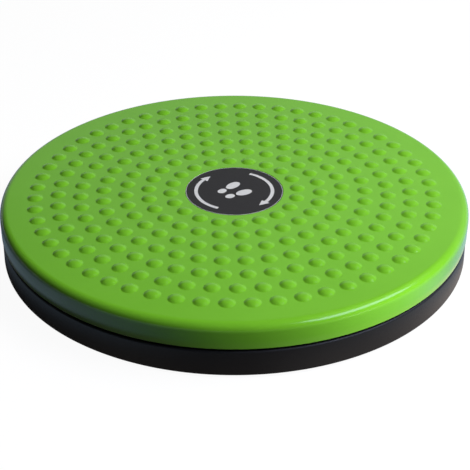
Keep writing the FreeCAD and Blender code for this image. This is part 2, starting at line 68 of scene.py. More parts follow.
# The lower plate is injection-moulded polypropylene, dyed through with carbon black. Its mould
# was spark-eroded, which gives the rim a fine even grain and a satin sheen.
GRAIN_MM = 0.7  # the eroded grain is about 0.1 mm: this is as fine as still shows
FLOW_MM = 30.0
MM_PER_METRE = 1000


def linear(hex_colour):
    """An sRGB hex colour as linear red, green, blue and alpha."""
    channels = [int(hex_colour[place : place + 2], 16) / 255 for place in (1, 3, 5)]
    lit = [value / 12.92 if value <= 0.04045 else ((value + 0.055) / 1.055) ** 2.4 for value in channels]
    return [*lit, 1.0]


def new_material(name):
    """An empty material that is made of nodes."""
    material = bpy.data.materials.new(name)
    material.use_nodes = True
    material.node_tree.nodes.clear()
    return material


def add_node(material, kind, settings, sockets):
    """Adds a node. A socket takes a value, or a pair of a node and the name of its output."""
    node = material.node_tree.nodes.new(kind)
    for name, value in settings.items():
        setattr(node, name, value)
    for name, value in sockets.items():
        if isinstance(value, tuple):
            source, output = value
            material.node_tree.links.new(source.outputs[output], node.inputs[name])
        else:
            node.inputs[name].default_value = value
    return node


def per_metre(size_mm):
    """The texture scale that repeats once in the given size."""
    return MM_PER_METRE / size_mm


polypropylene = new_material("moulded_black_polypropylene")
place = add_node(polypropylene, "ShaderNodeTexCoord", {}, {})
flow = add_node(
    polypropylene,
    "ShaderNodeTexNoise",
    {},
    {"Vector": (place, "Object"), "Scale": per_metre(FLOW_MM), "Detail": 3.0, "Roughness": 0.5},
)
grain = add_node(
    polypropylene,
    "ShaderNodeTexNoise",
    {},
    {"Vector": (place, "Object"), "Scale": per_metre(GRAIN_MM), "Detail": 4.0, "Roughness": 0.6},
)
black = add_node(
    polypropylene,
    "ShaderNodeMix",
    {"data_type": "RGBA"},
    {"Factor": (flow, "Fac"), 6: linear("#151414"), 7: linear("#1b1a1a")},
)
sheen = add_node(
    polypropylene,
    "ShaderNodeMapRange",
    {},
    {"Value": (grain, "Fac"), "From Min": 0.3, "From Max": 0.7, "To Min": 0.42, "To Max": 0.54},
)
relief = add_node(
    polypropylene,
    "ShaderNodeBump",
    {},
    {"Height": (grain, "Fac"), "Strength": 0.35, "Distance": 0.00012},
)
surface = add_node(
    polypropylene,
    "ShaderNodeBsdfPrincipled",
    {},
    {"Base Color": (black, 2), "Roughness": (sheen, "Result"), "Normal": (relief, "Normal"), "IOR": 1.49},
)
add_node(polypropylene, "ShaderNodeOutputMaterial", {}, {"Surface": (surface, "BSDF")})

# The plate is a web with a leaning rim and a hub round the bolt's head, stiffened from below by
# ribs. On top it has the channel for the race and a ring that keeps dust from the balls.
RIM_WALL = 2.6
RIM_LEAN = 0.3
RIM_TOP_ROUND = 1.2
RIM_FOOT_ROUND = 0.6
WEB = 2.8
RACE_WIDTH = 11.0
RACE_MARGIN = 0.15
RACE_SINK = 1.0
HEAD_COVER = 0.9
HEAD_ROOM = 2.0
HUB_WALL = 7.0
BOLT_HOLE = 3.2
DUST_RING_INSET = 6.0
DUST_RING_WALL = 2.0
RIB_DEPTH = 2.6
RIB_THICKNESS = 2.0
SPOKES = 12
SPOKE_ROOT = 0.1
TURN_STEPS = 360
ROUND_STEPS = 6


def turned_box(node):
    """A turned node's radius, its lowest height and its highest one, in millimetres."""
    low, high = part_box(node)
    return MM_PER_METRE * high.x, MM_PER_METRE * low.z, MM_PER_METRE * high.z


def arc(centre_radius, centre_height, radius, start, end, steps):
    """Points of a profile's arc, from one angle to another, in degrees up from the radius."""
    angles = np.radians(np.linspace(start, end, steps + 1))
    return [(centre_radius + radius * math.cos(a), centre_height + radius * math.sin(a)) for a in angles]


def spin(profile, steps):
    """A profile's points turned round Z: one ring of vertices for each."""
    angles = np.linspace(0, 2 * math.pi, steps, endpoint=False)
    return [(r * math.cos(a), r * math.sin(a), z) for r, z in profile for a in angles]


def ring_faces(rings, steps, start=0):
    """Faces between each ring of vertices and the next."""
    faces = []
    for ring in range(rings - 1):
        low = start + ring * steps
        for side in range(steps):
            after = (side + 1) % steps
            faces.append((low + side, low + steps + side, low + steps + after, low + after))
    return faces


def add_spokes(vertices, faces, thickness, stretches, heights):
    """Upright ribs on the radii, as closed blocks that run from one ring or wall to the next."""
    half = thickness / 2
    block = [(3, 2, 1, 0), (4, 5, 6, 7), (0, 1, 5, 4), (1, 2, 6, 5), (2, 3, 7, 6), (3, 0, 4, 7)]
    for spoke in range(SPOKES):
        angle = 2 * math.pi * spoke / SPOKES
        for inner, outer in stretches:
            start = len(vertices)
            for z in heights:
                for r, side in ((inner, -half), (outer, -half), (outer, half), (inner, half)):
                    x = r * math.cos(angle) - side * math.sin(angle)
                    y = r * math.sin(angle) + side * math.cos(angle)
                    vertices.append((x, y, z))
            faces += [tuple(start + corner for corner in face) for face in block]


rim_radius, skirt_bottom, crown_height = turned_box("top_plate")
_, rim_bottom, dust_ring_top = turned_box("base_plate")
race_edge, race_bottom, _ = turned_box("lower_race")
washer_radius, _, head_seat = turned_box("bolt_washer")
_, head_bottom, _ = turned_box("centre_bolt")
_, base_hub_top, _ = turned_box("thrust_washer")
web_top = race_bottom + RACE_SINK
web_bottom = web_top - WEB
web_middle = web_top - WEB / 2
rib_bottom = web_bottom - RIB_DEPTH
rim_top_radius = rim_radius - RIM_LEAN
pocket_radius = washer_radius + HEAD_ROOM
base_hub = pocket_radius + HUB_WALL
base_hub_bottom = head_bottom - HEAD_COVER
race_middle = race_edge - RACE_WIDTH / 2
channel = (race_edge - RACE_WIDTH - RACE_MARGIN, race_edge + RACE_MARGIN)
dust_ring = (rim_radius - DUST_RING_INSET - DUST_RING_WALL, rim_radius - DUST_RING_INSET)
rib_ring_middles = ((base_hub + race_middle) / 2, race_middle)
rib_rings = [(middle - RIB_THICKNESS / 2, middle + RIB_THICKNESS / 2) for middle in rib_ring_middles]
base_profile = [
    *arc(rim_top_radius - RIM_TOP_ROUND, web_top - RIM_TOP_ROUND, RIM_TOP_ROUND, 90, 0, ROUND_STEPS),
    *arc(rim_radius - RIM_FOOT_ROUND, rim_bottom + RIM_FOOT_ROUND, RIM_FOOT_ROUND, 0, -90, ROUND_STEPS),
    (rim_radius - RIM_WALL, rim_bottom),
    (rim_top_radius - RIM_WALL, web_bottom),
]
for inner, outer in reversed(rib_rings):
    base_profile += [(outer, web_bottom), (outer, rib_bottom), (inner, rib_bottom), (inner, web_bottom)]
base_profile += [
    (base_hub, web_bottom),
    (base_hub, base_hub_bottom),
    (pocket_radius, base_hub_bottom),
    (pocket_radius, head_seat),
    (BOLT_HOLE, head_seat),
    (BOLT_HOLE, base_hub_top),
    (base_hub, base_hub_top),
    (base_hub, web_top),
    (channel[0], web_top),
    (channel[0], race_bottom),
    (channel[1], race_bottom),
    (channel[1], web_top),
    (dust_ring[0], web_top),
    (dust_ring[0], dust_ring_top),
    (dust_ring[1], dust_ring_top),
    (dust_ring[1], web_top),
]
base_vertices = spin(base_profile, TURN_STEPS)
base_faces = ring_faces(len(base_profile), TURN_STEPS)
last_ring = (len(base_profile) - 1) * TURN_STEPS
for side in range(TURN_STEPS):
    after = (side + 1) % TURN_STEPS
    base_faces.append((last_ring + side, side, after, last_ring + after))

spoke_ends = [(pocket_radius + base_hub) / 2]
for inner, outer in rib_rings:
    spoke_ends += [inner + SPOKE_ROOT, outer - SPOKE_ROOT]
spoke_ends.append(rim_top_radius - RIM_WALL / 2)
base_spokes = list(zip(spoke_ends[::2], spoke_ends[1::2]))
add_spokes(base_vertices, base_faces, RIB_THICKNESS, base_spokes, (rib_bottom, web_middle))

# Six round cups on its underside hold the feet, in one moulding with the plate and evenly
# spaced from +Y. A cup's floor stops the foot, and its wall grips the foot's upper end.
FEET = 6
CUP_ROOM = 0.2
CUP_WALL = 2.2
CUP_DEPTH = 1.5
CUP_STEPS = 60
SHARP_ANGLE = 38


def polar(radius, degrees):
    """A point at a radius and an angle."""
    return (radius * math.cos(math.radians(degrees)), radius * math.sin(math.radians(degrees)))


def disc(profile, steps):
    """A closed disc from a profile that starts at the top's middle and ends at the bottom's."""
    vertices = spin(profile[1:-1], steps)
    faces = ring_faces(len(profile) - 2, steps)
    top_middle = len(vertices)
    bottom_middle = top_middle + 1
    vertices += [(0, 0, profile[0][1]), (0, 0, profile[-1][1])]
    last = top_middle - steps
    for side in range(steps):
        after = (side + 1) % steps
        faces.append((top_middle, side, after))
        faces.append((bottom_middle, last + after, last + side))
    return vertices, faces


def make_piece(name, vertices_mm, faces, material):
    """An object from vertices in millimetres, smooth but for its real corners."""
    mesh = bpy.data.meshes.new(name)
    vertices = [[value / MM_PER_METRE for value in point] for point in vertices_mm]
    mesh.from_pydata(vertices, [], faces)
    mesh.validate()
    mesh.polygons.foreach_set("use_smooth", [True] * len(mesh.polygons))
    mesh.set_sharp_from_angle(angle=math.radians(SHARP_ANGLE))
    mesh.materials.append(material)
    piece = bpy.data.objects.new(name, mesh)
    bpy.context.scene.collection.objects.link(piece)
    return piece


foot_radius, _, cup_floor = turned_box("rubber_foot_1")
foot_low, foot_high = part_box("rubber_foot_1")
feet_circle = MM_PER_METRE * (foot_low.y + foot_high.y) / 2
cup_inside = foot_radius + CUP_ROOM
cup_outside = cup_inside + CUP_WALL
cup_bottom = cup_floor - CUP_DEPTH
cup_profile = [
    (0, web_middle),
    (cup_outside, web_middle),
    (cup_outside, cup_bottom),
    (cup_inside, cup_bottom),
    (cup_inside, cup_floor),
    (0, cup_floor),
]
for foot in range(FEET):
    x, y = polar(feet_circle, 90 + 360 * foot / FEET)
    cup_vertices, cup_faces = disc(cup_profile, CUP_STEPS)
    start = len(base_vertices)
    base_vertices += [(x + cup_x, y + cup_y, z) for cup_x, cup_y, z in cup_vertices]
    base_faces += [tuple(start + corner for corner in face) for face in cup_faces]
lower_plate = make_piece("lower_plate", base_vertices, base_faces, polypropylene)
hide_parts("base_plate")
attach(lower_plate, "base")

# Six feet of moulded rubber, glued into cups under the lower plate. Rubber is matt, and the
# wax that comes to its surface leaves it a little greyer in patches.
BLOOM_MM = 3.0
nodes = frame["nodes"]


def dress(names, material):
    """Gives CAD nodes a material."""
    for name in names:
        mesh = nodes[name].data
        for index in range(len(mesh.materials)):
            mesh.materials[index] = material


rubber = new_material("moulded_rubber")
place = add_node(rubber, "ShaderNodeTexCoord", {}, {})
bloom = add_node(
    rubber,
    "ShaderNodeTexNoise",
    {},
    {"Vector": (place, "Object"), "Scale": per_metre(BLOOM_MM), "Detail": 5.0, "Roughness": 0.6},
)
grey = add_node(
    rubber,
    "ShaderNodeMix",
    {"data_type": "RGBA"},
    {"Factor": (bloom, "Fac"), 6: linear("#1c1c1c"), 7: linear("#2b2b2a")},
)
relief = add_node(
    rubber,
    "ShaderNodeBump",
    {},
    {"Height": (bloom, "Fac"), "Strength": 0.4, "Distance": 0.0001},
)
surface = add_node(
    rubber,
    "ShaderNodeBsdfPrincipled",
    {},
    {"Base Color": (grey, 2), "Roughness": 0.78, "Normal": (relief, "Normal"), "IOR": 1.52},
)
add_node(rubber, "ShaderNodeOutputMaterial", {}, {"Surface": (surface, "BSDF")})
dress([name for name in nodes if name.startswith("rubber_foot_")], rubber)

# Two races of hardened steel, one pressed into each plate. They are turned on a lathe, so fine
# rings run round their faces, and a film of grease dulls them in places.
TURNING_PITCH_MM = 0.25
WAVE_PERIOD = 2 * math.pi / 20  # what a wave texture of scale 1 repeats in
GREASE_MM = 9.0
race_steel = new_material("turned_race_steel")
place = add_node(race_steel, "ShaderNodeTexCoord", {}, {})
rings = add_node(
    race_steel,
    "ShaderNodeTexWave",
    {"wave_type": "RINGS", "rings_direction": "Z"},
    {"Vector": (place, "Object"), "Scale": WAVE_PERIOD * per_metre(TURNING_PITCH_MM), "Distortion": 0.4},
)
grease = add_node(
    race_steel,
    "ShaderNodeTexNoise",
    {},
    {"Vector": (place, "Object"), "Scale": per_metre(GREASE_MM), "Detail": 3.0, "Roughness": 0.5},
)
film = add_node(
    race_steel,
    "ShaderNodeMapRange",
    {},
    {"Value": (grease, "Fac"), "From Min": 0.35, "From Max": 0.65, "To Min": 0.2, "To Max": 0.36},
)
relief = add_node(
    race_steel,
    "ShaderNodeBump",
    {},
    {"Height": (rings, "Fac"), "Strength": 0.3, "Distance": 0.00004},
)
surface = add_node(
    race_steel,
    "ShaderNodeBsdfPrincipled",
    {},
    {
        "Base Color": linear("#c3c4c6"),
        "Metallic": 1.0,
        "Roughness": (film, "Result"),
        "Normal": (relief, "Normal"),
    },
)
add_node(race_steel, "ShaderNodeOutputMaterial", {}, {"Surface": (surface, "BSDF")})
dress(["lower_race", "upper_race"], race_steel)

# A ring of natural nylon keeps the balls apart. Nylon is cream-coloured and lets a little light
# in, and its moulding leaves a soft silky surface.
SILK_MM = 2.0
nylon = new_material("moulded_natural_nylon")
place = add_node(nylon, "ShaderNodeTexCoord", {}, {})
silk = add_node(
    nylon,
    "ShaderNodeTexNoise",
    {},
    {"Vector": (place, "Object"), "Scale": per_metre(SILK_MM), "Detail": 4.0, "Roughness": 0.55},
)
cream = add_node(
    nylon,
    "ShaderNodeMix",
    {"data_type": "RGBA"},
    {"Factor": (silk, "Fac"), 6: linear("#cfc8b6"), 7: linear("#ddd8c9")},
)
relief = add_node(
    nylon,
    "ShaderNodeBump",
    {},
    {"Height": (silk, "Fac"), "Strength": 0.2, "Distance": 0.0001},
)
surface = add_node(
    nylon,
    "ShaderNodeBsdfPrincipled",
    {},
    {
        "Base Color": (cream, 2),
        "Roughness": 0.45,
        "Normal": (relief, "Normal"),
        "IOR": 1.53,
        "Subsurface Weight": 0.1,
        "Subsurface Scale": 0.001,
    },
)
add_node(nylon, "ShaderNodeOutputMaterial", {}, {"Surface": (surface, "BSDF")})
dress(["ball_cage"], nylon)

# Twenty-four bearing balls of chrome steel, ground and lapped until they mirror the room. They
# run in grease, which leaves that mirror cloudy here and there.
SMEAR_MM = 2.5
ball_steel = new_material("polished_bearing_steel")
place = add_node(ball_steel, "ShaderNodeTexCoord", {}, {})
smear = add_node(
    ball_steel,
    "ShaderNodeTexNoise",
    {},
    {"Vector": (place, "Object"), "Scale": per_metre(SMEAR_MM), "Detail": 2.0, "Roughness": 0.5},
)
gloss = add_node(
    ball_steel,
    "ShaderNodeMapRange",
    {},
    {"Value": (smear, "Fac"), "From Min": 0.4, "From Max": 0.7, "To Min": 0.05, "To Max": 0.16},
)
surface = add_node(
    ball_steel,
    "ShaderNodeBsdfPrincipled",
    {},
    {"Base Color": linear("#cdcfd2"), "Metallic": 1.0, "Roughness": (gloss, "Result")},
)
add_node(ball_steel, "ShaderNodeOutputMaterial", {}, {"Surface": (surface, "BSDF")})
dress([name for name in nodes if name.startswith("ball_") and name != "ball_cage"], ball_steel)

# The centre bolt, its nut and its washers are zinc-plated steel. The plating is crystalline,
# and its clear passivation leaves a faint blue and straw tint.
SPANGLE_MM = 1.2
TINT_MM = 4.0
zinc = new_material("zinc_plated_steel")
place = add_node(zinc, "ShaderNodeTexCoord", {}, {})
spangle = add_node(
    zinc,
    "ShaderNodeTexVoronoi",
    {},
    {"Vector": (place, "Object"), "Scale": per_metre(SPANGLE_MM)},
)
tint = add_node(
    zinc,
    "ShaderNodeTexNoise",
    {},
    {"Vector": (place, "Object"), "Scale": per_metre(TINT_MM), "Detail": 3.0},
)
plating = add_node(
    zinc,
    "ShaderNodeMix",
    {"data_type": "RGBA"},
    {"Factor": (tint, "Fac"), 6: linear("#bfc6cf"), 7: linear("#cfc9b4")},
)
matt = add_node(
    zinc,
    "ShaderNodeMapRange",
    {},
    {"Value": (spangle, "Distance"), "From Min": 0.0, "From Max": 0.8, "To Min": 0.24, "To Max": 0.4},
)
surface = add_node(
    zinc,
    "ShaderNodeBsdfPrincipled",
    {},
    {"Base Color": (plating, 2), "Metallic": 1.0, "Roughness": (matt, "Result")},
)
add_node(zinc, "ShaderNodeOutputMaterial", {}, {"Surface": (surface, "BSDF")})
dress(["centre_bolt", "lock_nut", "nut_washer", "bolt_washer"], zinc)

# The bush and the thrust washer, on which the upper plate turns, are white acetal: a hard
# slippery plastic that is machined, so it has a waxy look and faint turning marks.
MARK_PITCH_MM = 0.2
acetal = new_material("turned_white_acetal")
place = add_node(acetal, "ShaderNodeTexCoord", {}, {})
marks = add_node(
    acetal,
    "ShaderNodeTexWave",
    {"wave_type": "RINGS", "rings_direction": "Z"},
    {"Vector": (place, "Object"), "Scale": WAVE_PERIOD * per_metre(MARK_PITCH_MM), "Distortion": 0.3},
)
relief = add_node(
    acetal,
    "ShaderNodeBump",
    {},
    {"Height": (marks, "Fac"), "Strength": 0.2, "Distance": 0.00004},
)
surface = add_node(
    acetal,
    "ShaderNodeBsdfPrincipled",
    {},
    {"Base Color": linear("#e4e3de"), "Roughness": 0.38, "Normal": (relief, "Normal"), "IOR": 1.48},
)
add_node(acetal, "ShaderNodeOutputMaterial", {}, {"Surface": (surface, "BSDF")})
dress(["hub_bush", "thrust_washer"], acetal)

# The upper plate is one injection moulding in green ABS, from a polished mould: a flat standing
# face with rows of bumps that flow into it, a rounded edge, a skirt, and a ribbed underside.
FACE_WALL = 2.6
EDGE_ROUND = 4.2
SKIRT_WALL = 2.6
SKIRT_ROUND = 0.6
LIP_WALL = 2.0
LIP_GRIP = 1.6
FLANGE = 1.2
FLANGE_WIDTH = 3.0
BUSH_FIT = 0.05
WELL_ROOM = 2.0
WELL_WALL = 4.0
LABEL_MARGIN = 0.2
MOUTH_ROUND = 0.15
FLAT_GUARD = 0.4
UPPER_RIB_DEPTH = 4.6
UPPER_RIB_THICKNESS = 1.8
EDGE_STEPS = 14
SMALL_STEPS = 4
BUMPS_IN_RING = (20, 26, 32, 38, 44, 49, 56)
LABEL_TO_BUMPS = 3.8
BUMPS_TO_EDGE = 10.3
BUMP_RADIUS = 4.0
BUMP_FLARE = 0.2
BUMP_HEIGHT = 1.4
BUMP_FULLNESS = 3.0
BUMP_SOFTNESS = 1.35
BUMP_GUARD = 0.25
BUMP_SIDES = 24
BUMP_RING_SHARES = (1.0, 0.975, 0.94, 0.9, 0.85, 0.79, 0.72, 0.62, 0.5, 0.36, 0.18)
FILL_WITHIN_HULL = 0  # what the fill gives: all triangles inside its outermost points
MERGE_MM = 1e-5


def bump_centres(first, last):
    """The middles of all bumps, in rings from one radius to another. Each ring starts on +Y."""
    centres = []
    for radius, count in zip(np.linspace(first, last, len(BUMPS_IN_RING)), BUMPS_IN_RING):
        centres += [polar(radius, 90 + 360 * index / count) for index in range(count)]
    return centres


def bump_profile():
    """A bump's radii and heights over the face, from the flat guard ring round it to its crown."""
    foot = BUMP_RADIUS + BUMP_FLARE
    profile = [(foot + BUMP_GUARD, 0.0)]
    for share in BUMP_RING_SHARES:
        profile.append((foot * share, BUMP_HEIGHT * (1 - share**BUMP_FULLNESS) ** BUMP_SOFTNESS))
    return profile


def flat_face(borders):
    """Triangles that fill the face between its outer border, its inner one and the bumps' rings."""
    points = [point for border in borders for point in border]
    owner = [index for index, border in enumerate(borders) for _ in border]
    edges = []
    start = 0
    for border in borders:
        size = len(border)
        edges += [(start + side, start + (side + 1) % size) for side in range(size)]
        start += size
    flat = [Vector(point) for point in points]
    _, _, filled, origins, _, _ = delaunay_2d_cdt(flat, edges, [], FILL_WITHIN_HULL, MERGE_MM)
    sources = [origin[0] for origin in origins]
    triangles = []
    for triangle in filled:
        a, b, c = [sources[corner] for corner in triangle]
        inside_a_hole = owner[a] == owner[b] == owner[c] != 0
        if inside_a_hole:
            continue
        turn = (flat[b] - flat[a]).cross(flat[c] - flat[a])
        triangles.append((a, b, c) if turn > 0 else (a, c, b))
    return triangles


_, _, race_seat = turned_box("upper_race")
flange_radius, top_hub_bottom, flange_top = turned_box("hub_bush")
label_radius, label_seat, label_top = turned_box("centre_label")
face_height = crown_height - BUMP_HEIGHT
face_edge = rim_radius - EDGE_ROUND
skirt_inside = rim_radius - SKIRT_WALL
underside = face_height - FACE_WALL
upper_rib_bottom = underside - UPPER_RIB_DEPTH
lip_bottom = race_seat - LIP_GRIP
well_floor = flange_top - FLANGE
well_radius = flange_radius + WELL_ROOM
top_hub = well_radius + WELL_WALL
hub_bore = flange_radius - FLANGE_WIDTH + BUSH_FIT
label_hole = label_radius + LABEL_MARGIN
mouth = label_hole + MOUTH_ROUND
inner_lip = (channel[0] - LIP_WALL, channel[0])
outer_lip = (channel[1], channel[1] + LIP_WALL)
ring_middle = (outer_lip[1] + skirt_inside) / 2
upper_ring = (ring_middle - UPPER_RIB_THICKNESS / 2, ring_middle + UPPER_RIB_THICKNESS / 2)
top_profile = [
    (face_edge - FLAT_GUARD, face_height),
    *arc(face_edge, face_height - EDGE_ROUND, EDGE_ROUND, 90, 0, EDGE_STEPS),
    *arc(rim_radius - SKIRT_ROUND, skirt_bottom + SKIRT_ROUND, SKIRT_ROUND, 0, -90, SMALL_STEPS),
    (skirt_inside, skirt_bottom),
    *arc(face_edge, face_height - EDGE_ROUND, EDGE_ROUND - SKIRT_WALL, 0, 90, SMALL_STEPS),
    (upper_ring[1], underside),
    (upper_ring[1], upper_rib_bottom),
    (upper_ring[0], upper_rib_bottom),
    (upper_ring[0], underside),
    (outer_lip[1], underside),
    (outer_lip[1], lip_bottom),
    (outer_lip[0], lip_bottom),
    (outer_lip[0], race_seat),
    (inner_lip[1], race_seat),
    (inner_lip[1], lip_bottom),
    (inner_lip[0], lip_bottom),
    (inner_lip[0], underside),
    (top_hub, underside),
    (top_hub, top_hub_bottom),
    (hub_bore, top_hub_bottom),
    (hub_bore, well_floor),
    (well_radius, well_floor),
    (well_radius, label_seat),
    (label_hole, label_seat),
    *arc(mouth, face_height - MOUTH_ROUND, MOUTH_ROUND, 180, 90, SMALL_STEPS),
    (mouth + FLAT_GUARD, face_height),
]
top_vertices = spin(top_profile, TURN_STEPS)
top_faces = ring_faces(len(top_profile), TURN_STEPS)
top_spokes = (
    ((well_radius + top_hub) / 2, sum(inner_lip) / 2),
    (sum(outer_lip) / 2, upper_ring[0] + SPOKE_ROOT),
    (upper_ring[1] - SPOKE_ROOT, rim_radius - SKIRT_WALL / 2),
)
spoke_root = (underside + label_seat) / 2

# Each bump is a patch of its own: a full dome with a soft foot that meets the face in a true
# circle. The face fills what is left between the patches, the edge and the printed disc's hole.
crown_profile = bump_profile()
side_angles = np.linspace(0, 360, BUMP_SIDES, endpoint=False)
edge_vertices = list(range(TURN_STEPS))
mouth_vertices = [(len(top_profile) - 1) * TURN_STEPS + side for side in edge_vertices]
border_vertices = [edge_vertices, mouth_vertices]
first_ring = label_hole + LABEL_TO_BUMPS + BUMP_RADIUS
outermost_ring = face_edge - BUMPS_TO_EDGE - BUMP_RADIUS
for x, y in bump_centres(first_ring, outermost_ring):
    start = len(top_vertices)
    for radius, height in crown_profile:
        patch_ring = [polar(radius, angle) for angle in side_angles]
        top_vertices += [(x + side_x, y + side_y, face_height + height) for side_x, side_y in patch_ring]
    crown = len(top_vertices)
    top_vertices.append((x, y, crown_height))
    top_faces += [face[::-1] for face in ring_faces(len(crown_profile), BUMP_SIDES, start)]
    smallest = crown - BUMP_SIDES
    for side in range(BUMP_SIDES):
        after = (side + 1) % BUMP_SIDES
        top_faces.append((smallest + side, smallest + after, crown))
    border_vertices.append(list(range(start, start + BUMP_SIDES)))
borders = [[top_vertices[index][:2] for index in border] for border in border_vertices]
face_vertices = [index for border in border_vertices for index in border]
top_faces += [tuple(face_vertices[corner] for corner in triangle) for triangle in flat_face(borders)]
add_spokes(top_vertices, top_faces, UPPER_RIB_THICKNESS, top_spokes, (upper_rib_bottom, spoke_root))

# ABS from a polished mould is glossy. It shrinks as it cools, so its shine is never quite even:
# a shallow ripple a few millimetres wide bends reflections, and flow lines shift the green.
RIPPLE_MM = 6.0
PORE_MM = 0.9  # the mould's polish is finer: this is as fine as still shows
green_abs = new_material("moulded_green_abs")
place = add_node(green_abs, "ShaderNodeTexCoord", {}, {})
flow = add_node(
    green_abs,
    "ShaderNodeTexNoise",
    {},
    {"Vector": (place, "Object"), "Scale": per_metre(FLOW_MM), "Detail": 4.0, "Distortion": 0.6},
)
ripple = add_node(
    green_abs,
    "ShaderNodeTexNoise",
    {},
    {"Vector": (place, "Object"), "Scale": per_metre(RIPPLE_MM), "Detail": 1.0},
)
pores = add_node(
    green_abs,
    "ShaderNodeTexNoise",
    {},
    {"Vector": (place, "Object"), "Scale": per_metre(PORE_MM), "Detail": 3.0, "Roughness": 0.6},
)
green = add_node(
    green_abs,
    "ShaderNodeMix",
    {"data_type": "RGBA"},
    {"Factor": (flow, "Fac"), 6: linear("#70b626"), 7: linear("#77be2c")},
)
shine = add_node(
    green_abs,
    "ShaderNodeMapRange",
    {},
    {"Value": (pores, "Fac"), "From Min": 0.3, "From Max": 0.7, "To Min": 0.13, "To Max": 0.18},
)
wave = add_node(
    green_abs,
    "ShaderNodeBump",
    {},
    {"Height": (ripple, "Fac"), "Strength": 0.12, "Distance": 0.0002},
)
relief = add_node(
    green_abs,
    "ShaderNodeBump",
    {},
    {"Height": (pores, "Fac"), "Strength": 0.08, "Distance": 0.00008, "Normal": (wave, "Normal")},
)
surface = add_node(
    green_abs,
    "ShaderNodeBsdfPrincipled",
    {},
    {"Base Color": (green, 2), "Roughness": (shine, "Result"), "Normal": (relief, "Normal"), "IOR": 1.53},
)
add_node(green_abs, "ShaderNodeOutputMaterial", {}, {"Surface": (surface, "BSDF")})

standing_plate = make_piece("standing_plate", top_vertices, top_faces, green_abs)
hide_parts("top_plate")
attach(standing_plate, "top")

# The printed disc is self-adhesive vinyl, die-cut and pressed into its recess over the nut. Its
# laminate is matt, so it stays a soft dark grey, and its cut edge shows as a thin pale line.
LABEL_EDGE = 0.1
LABEL_STEPS = 240
ORANGE_PEEL_MM = 1.5
vinyl = new_material("matt_laminated_vinyl")
place = add_node(vinyl, "ShaderNodeTexCoord", {}, {})
peel = add_node(
    vinyl,
    "ShaderNodeTexNoise",
    {},
    {"Vector": (place, "Object"), "Scale": per_metre(ORANGE_PEEL_MM), "Detail": 3.0, "Roughness": 0.55},
)
charcoal = add_node(
    vinyl,
    "ShaderNodeMix",
    {"data_type": "RGBA"},
    {"Factor": (peel, "Fac"), 6: linear("#292726"), 7: linear("#31302f")},
)
relief = add_node(
    vinyl,
    "ShaderNodeBump",
    {},
    {"Height": (peel, "Fac"), "Strength": 0.15, "Distance": 0.0001},
)
surface = add_node(
    vinyl,
    "ShaderNodeBsdfPrincipled",
    {},
    {"Base Color": (charcoal, 2), "Roughness": 0.5, "Normal": (relief, "Normal"), "IOR": 1.5},
)
add_node(vinyl, "ShaderNodeOutputMaterial", {}, {"Surface": (surface, "BSDF")})
label_profile = [
    (0, label_top),
    (label_radius - LABEL_EDGE, label_top),
    (label_radius, label_top - LABEL_EDGE),
    (label_radius, label_seat),
    (0, label_seat),
]
label_vertices, label_faces = disc(label_profile, LABEL_STEPS)
printed_disc = make_piece("printed_disc", label_vertices, label_faces, vinyl)
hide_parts("centre_label")
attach(printed_disc, "top")

# White screen-printed ink on the disc: a thin border, two arrows for turning either way, and
# two soles for where to stand. The ink stands a few hundredths of a millimetre proud.
INK_HEIGHT = 0.03
BORDER = (25.9, 26.1)  # the radii between which it is printed
ARROW_RADIUS = 20.6
ARROW_WIDTH = 1.9
ARROW_HEAD_WIDTH = 5.0
ARROW_HEAD_LENGTH = 5.2
ARROW_SPAN = (118, 2)  # the angles of an arrow's tail and tip
SOLE_SPREAD = 4.4
SOLE_TURN = 9
FOREFOOT = (0.0, 2.9, 2.75, 4.7)  # an oval's middle, half width and half length
HEEL = (0.0, -5.6, 2.1, 2.7)
PRINT_TURN = -57
OVAL_STEPS = 48
INK_STEPS = 40


def extrude_ink(outline, vertices, faces):
    """Adds a closed film of ink with a convex outline that runs anticlockwise."""
    start = len(vertices)
    size = len(outline)
    turn = math.radians(PRINT_TURN)
    for z in (label_top, label_top + INK_HEIGHT):
        for x, y in outline:
            across = x * math.cos(turn) - y * math.sin(turn)
            along = x * math.sin(turn) + y * math.cos(turn)
            vertices.append((across, along, z))
    faces.append(tuple(start + size + corner for corner in range(size)))
    faces.append(tuple(start + corner for corner in reversed(range(size))))
    for corner in range(size):
        after = (corner + 1) % size
        faces.append((start + corner, start + after, start + size + after, start + size + corner))


def band(inner, outer, start, end, steps):
    """The outlines of short pieces that make a curved band, anticlockwise from start to end."""
    outlines = []
    angles = np.linspace(start, end, steps + 1)
    for a, b in zip(angles, angles[1:]):
        outlines.append([polar(inner, a), polar(outer, a), polar(outer, b), polar(inner, b)])
    return outlines


def oval(centre_x, centre_y, half_width, half_length, offset, turn):
    """An oval's outline, moved sideways and turned."""
    lean = math.radians(turn)
    outline = []
    for step in range(OVAL_STEPS):
        a = 2 * math.pi * step / OVAL_STEPS
        x = centre_x + half_width * math.cos(a)
        y = centre_y + half_length * math.sin(a)
        leaned_x = x * math.cos(lean) - y * math.sin(lean)
        leaned_y = x * math.sin(lean) + y * math.cos(lean)
        outline.append((offset + leaned_x, leaned_y))
    return outline


